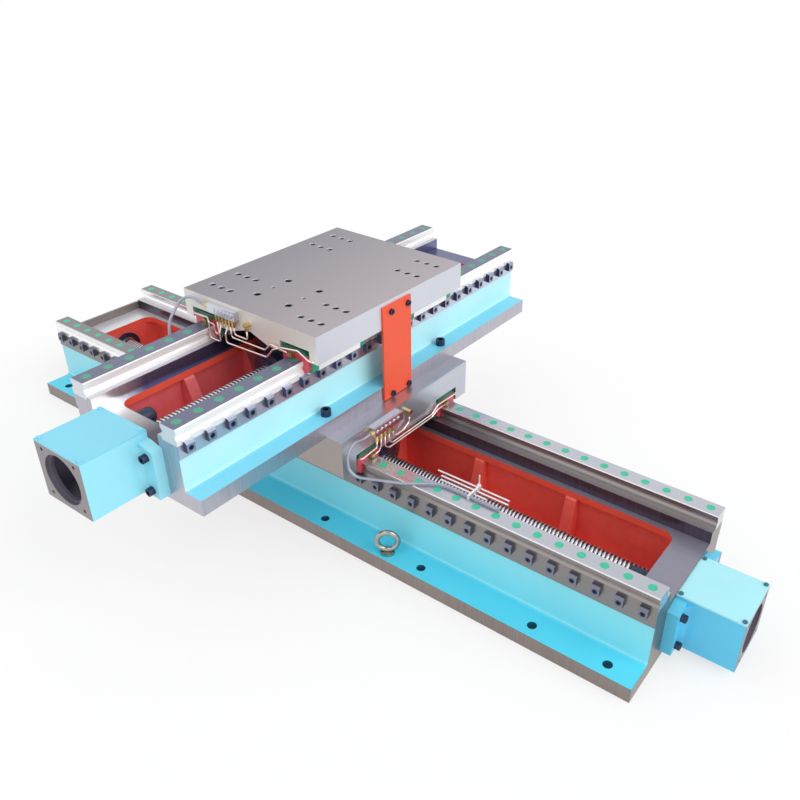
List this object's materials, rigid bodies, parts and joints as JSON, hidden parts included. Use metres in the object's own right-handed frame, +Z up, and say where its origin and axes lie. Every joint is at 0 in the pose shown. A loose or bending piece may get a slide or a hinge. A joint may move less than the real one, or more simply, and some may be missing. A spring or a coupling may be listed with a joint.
{
  "type": "cross slide table",
  "caption": "Two-axis cross slide table with painted cast beds, roller rails, ball screws, open motor brackets, oil distributors and an orange transport lock plate.",
  "frame": {"origin": "centre of the foot of the lower bed, on the floor", "axes": "+X along the lower bed towards its motor bracket, +Y along the upper bed away from its motor bracket, +Z up"},
  "size_m": [2.151, 1.348, 0.5725],
  "materials": {
    "bed_paint": "semi-gloss sky blue paint on cast iron",
    "ground_steel": "ground surface",
    "rail_steel": "hardened and ground",
    "black_steel": "blackened",
    "clamp_steel": "blued",
    "nut_iron": "machined casting",
    "plate_steel": "dark brown",
    "cap_plastic": "green moulded",
    "seal_plastic": "green moulded",
    "wiper_plastic": "red moulded",
    "lock_paint": "orange paint",
    "fitting_brass": "turned",
    "pipe_metal": "bright drawn tube",
    "hose_sleeve": "grey braided sleeve",
    "tie_plastic": "white",
    "eye_nickel": "plated"
  },
  "bodies": {
    "lower_bed": {"lower_bed": "bed_paint", "lower_rail_front": "rail_steel", "lower_rail_rear": "rail_steel", "lower_rail_bolts": "black_steel", "lower_rail_caps": "cap_plastic", "lower_clamps": "clamp_steel", "lower_clamp_screws": "black_steel", "lower_fixed_sleeve": "black_steel", "lower_support_sleeve": "black_steel", "lower_bearings": "rail_steel", "lower_motor_bracket": "bed_paint", "lower_bracket_cover": "bed_paint", "lower_bracket_bolts": "black_steel", "lower_cover_screws": "bed_paint", "lifting_eyes": "eye_nickel", "lower_end_plate": "plate_steel"},
    "lower_screw": {"lower_ball_screw": "rail_steel"},
    "saddle": {"saddle": "ground_steel", "saddle_bolts": "black_steel", "lower_carriages": "rail_steel", "lower_return_caps": "seal_plastic", "lower_wipers": "wiper_plastic", "lower_ball_nut": "rail_steel", "lower_nut_housing": "nut_iron", "saddle_manifold": "ground_steel", "saddle_fittings": "fitting_brass", "saddle_pipes": "pipe_metal", "saddle_hose": "hose_sleeve", "hose_tie": "tie_plastic", "loose_pipes": "pipe_metal", "upper_bed": "bed_paint", "upper_bed_bolts": "black_steel", "upper_rail_left": "rail_steel", "upper_rail_right": "rail_steel", "upper_rail_bolts": "black_steel", "upper_rail_caps": "cap_plastic", "upper_clamps": "clamp_steel", "upper_clamp_screws": "black_steel", "upper_fixed_sleeve": "black_steel", "upper_support_sleeve": "black_steel", "upper_bearings": "rail_steel", "upper_motor_bracket": "bed_paint", "upper_bracket_cover": "bed_paint", "upper_bracket_bolts": "black_steel", "upper_cover_screws": "bed_paint"},
    "upper_screw": {"upper_ball_screw": "rail_steel"},
    "table": {"table": "ground_steel", "table_bolts": "black_steel", "upper_carriages": "rail_steel", "upper_return_caps": "seal_plastic", "upper_wipers": "wiper_plastic", "upper_ball_nut": "rail_steel", "upper_nut_housing": "nut_iron", "table_manifold": "ground_steel", "table_fittings": "fitting_brass", "table_pipes": "pipe_metal", "table_hose": "hose_sleeve", "hose_union": "fitting_brass", "lock_plate": "lock_paint", "lock_screws": "black_steel"}
  },
  "joints": [
    {"name": "saddle_slide", "type": "slide", "parent": "lower_bed", "child": "saddle", "axis": [1, 0, 0], "range_m": [-0.7, 0.66]},
    {"name": "table_slide", "type": "slide", "parent": "saddle", "child": "table", "axis": [0, 1, 0], "range_m": [-0.25, 0.31]},
    {"name": "lower_screw_turn", "type": "hinge", "parent": "lower_bed", "child": "lower_screw", "pos_m": [0, 0, 0.089], "axis": [1, 0, 0], "continuous": true},
    {"name": "upper_screw_turn", "type": "hinge", "parent": "saddle", "child": "upper_screw", "pos_m": [-0.009, 0, 0.3985], "axis": [0, -1, 0], "continuous": true}
  ],
  "couplings": [
    {"joint": "lower_screw_turn", "follows": "saddle_slide", "rad_per_m": -628.32},
    {"joint": "upper_screw_turn", "follows": "table_slide", "rad_per_m": 628.32}
  ]
}
